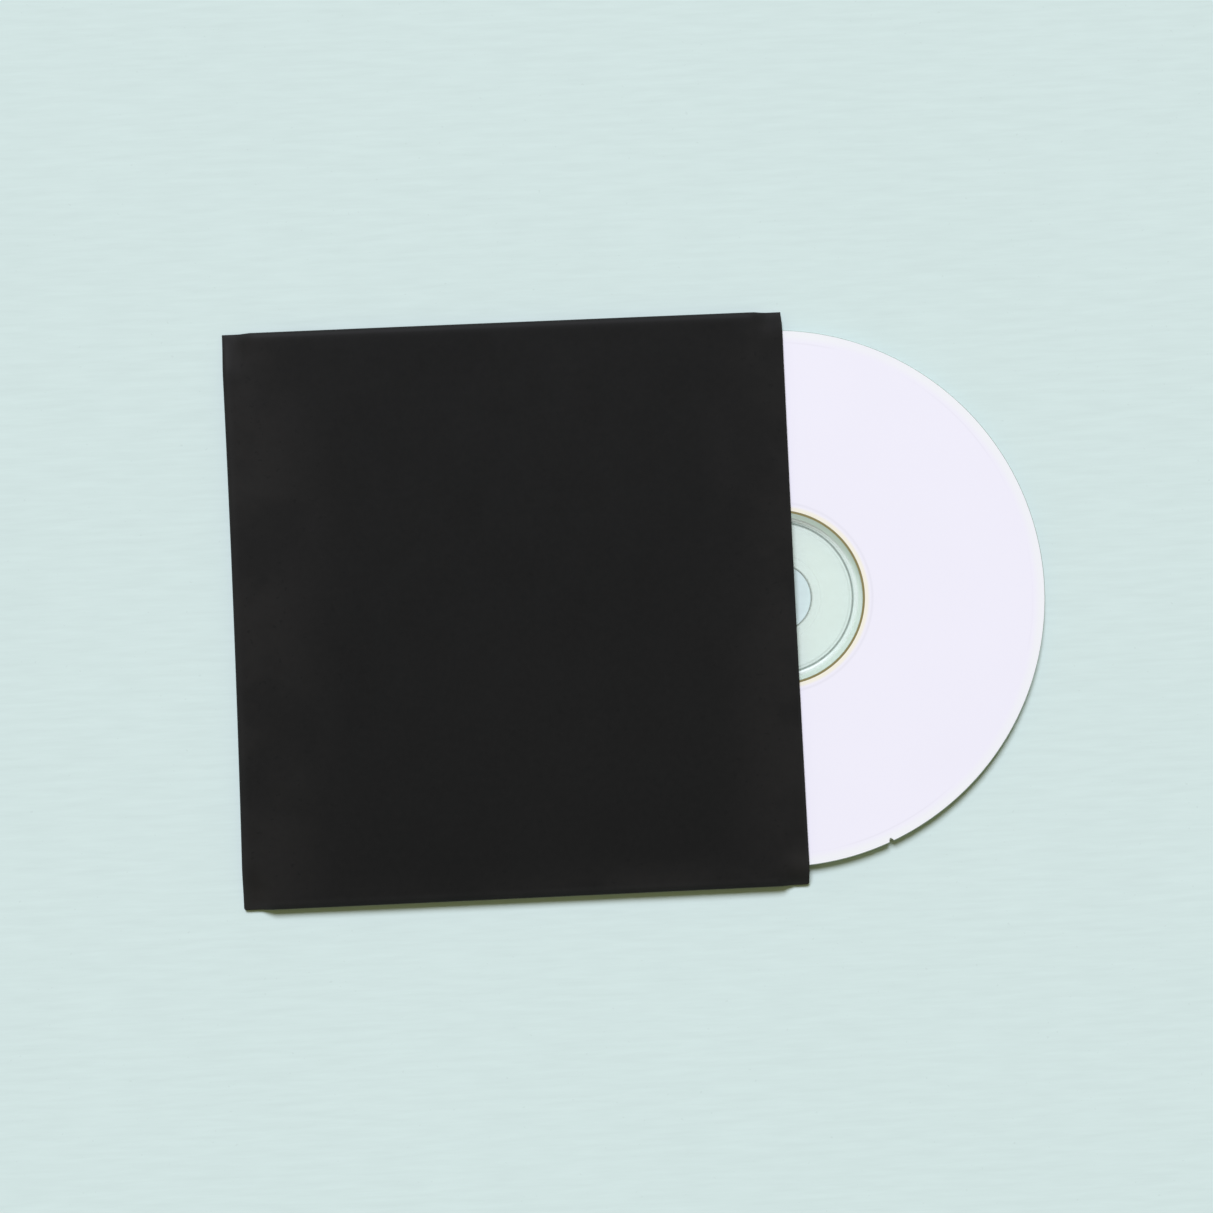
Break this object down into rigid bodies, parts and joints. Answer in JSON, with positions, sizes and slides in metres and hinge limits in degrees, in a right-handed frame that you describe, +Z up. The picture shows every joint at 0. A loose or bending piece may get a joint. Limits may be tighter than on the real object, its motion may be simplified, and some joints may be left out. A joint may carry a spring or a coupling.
{
  "type": "cardboard cd sleeve with disc",
  "caption": "Square black card sleeve with a spine fold, glued side folds and an open mouth, holding a blank white disc drawn half way out.",
  "frame": {"origin": "middle of the back panel's outer face, which lies on the table", "axes": "+Z up out of the front panel, +X from the spine fold to the open mouth, +Y towards one of the two glued side folds"},
  "size_m": [0.1817, 0.1284, 0.0034],
  "materials": {
    "black_card": "matte",
    "white_disc": "satin"
  },
  "bodies": {
    "sleeve_body": {"sleeve": "black_card"},
    "disc_body": {"disc": "white_disc"}
  },
  "joints": [
    {"name": "disc_slide", "type": "slide", "parent": "sleeve_body", "child": "disc_body", "axis": [1, 0, 0], "range_m": [-0.0602, 0.066]}
  ]
}
